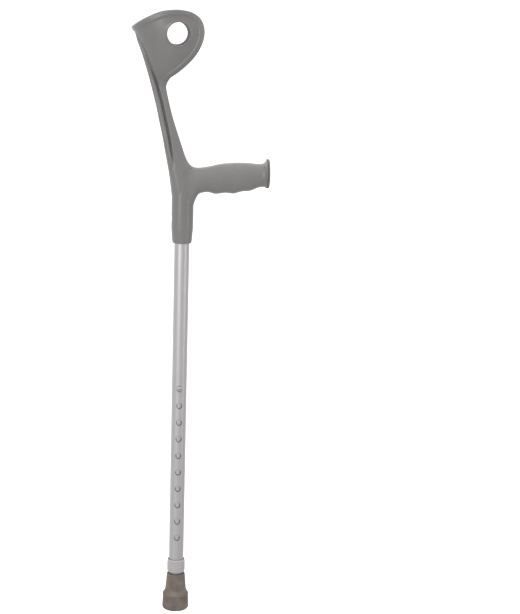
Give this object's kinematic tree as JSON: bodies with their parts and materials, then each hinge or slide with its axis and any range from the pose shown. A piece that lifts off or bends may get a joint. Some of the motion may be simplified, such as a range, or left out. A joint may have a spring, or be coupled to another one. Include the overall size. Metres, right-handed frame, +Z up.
{
  "type": "forearm crutch",
  "caption": "Forearm crutch: one-piece grey plastic cuff, arm and hand grip on a push-button telescoping aluminium leg with a rubber ferrule.",
  "frame": {"origin": "middle of the ferrule's flat base, on the tubes' axis", "axes": "+Z up the tubes, +X along the hand grip away from the tubes, -Y towards the side with near_button"},
  "size_m": [0.2018, 0.0916, 0.8917],
  "materials": {
    "grey_polypropylene": "satin moulded",
    "dark_grey_cap": "satin moulded",
    "zinc_screw": "zinc plated",
    "satin_aluminium": "satin anodised",
    "light_grey_collar": "fine ribs",
    "bright_aluminium": "drawn, bright",
    "black_nylon": "moulded",
    "spring_steel": "cold rolled",
    "button_steel": "nickel plated",
    "grey_rubber": "matt moulded",
    "steel_washer": "plain"
  },
  "bodies": {
    "upper": {"upper_moulding": "grey_polypropylene", "grip_end_cap": "dark_grey_cap", "tube_retaining_screw": "zinc_screw", "outer_tube": "satin_aluminium", "tube_collar": "light_grey_collar"},
    "leg": {"inner_tube": "bright_aluminium", "inner_tube_plug": "black_nylon", "button_spring": "spring_steel", "ferrule": "grey_rubber", "ferrule_washer": "steel_washer"},
    "near_push_button": {"near_button": "button_steel"},
    "far_push_button": {"far_button": "button_steel"}
  },
  "joints": [
    {"name": "leg_slide", "type": "slide", "parent": "upper", "child": "leg", "axis": [0, 0, -1], "range_m": [0, 0.2286], "deforming": ["near_button", "far_button"]},
    {"name": "near_button_press", "type": "slide", "parent": "leg", "child": "near_push_button", "axis": [0, 1, 0], "range_m": [0, 0.0031], "stiffness_N_per_m": 2000, "springref_m": -0.002, "deforming": ["button_spring"]},
    {"name": "far_button_press", "type": "slide", "parent": "leg", "child": "far_push_button", "axis": [0, -1, 0], "range_m": [0, 0.0031], "stiffness_N_per_m": 2000, "springref_m": -0.002, "deforming": ["button_spring"]}
  ]
}
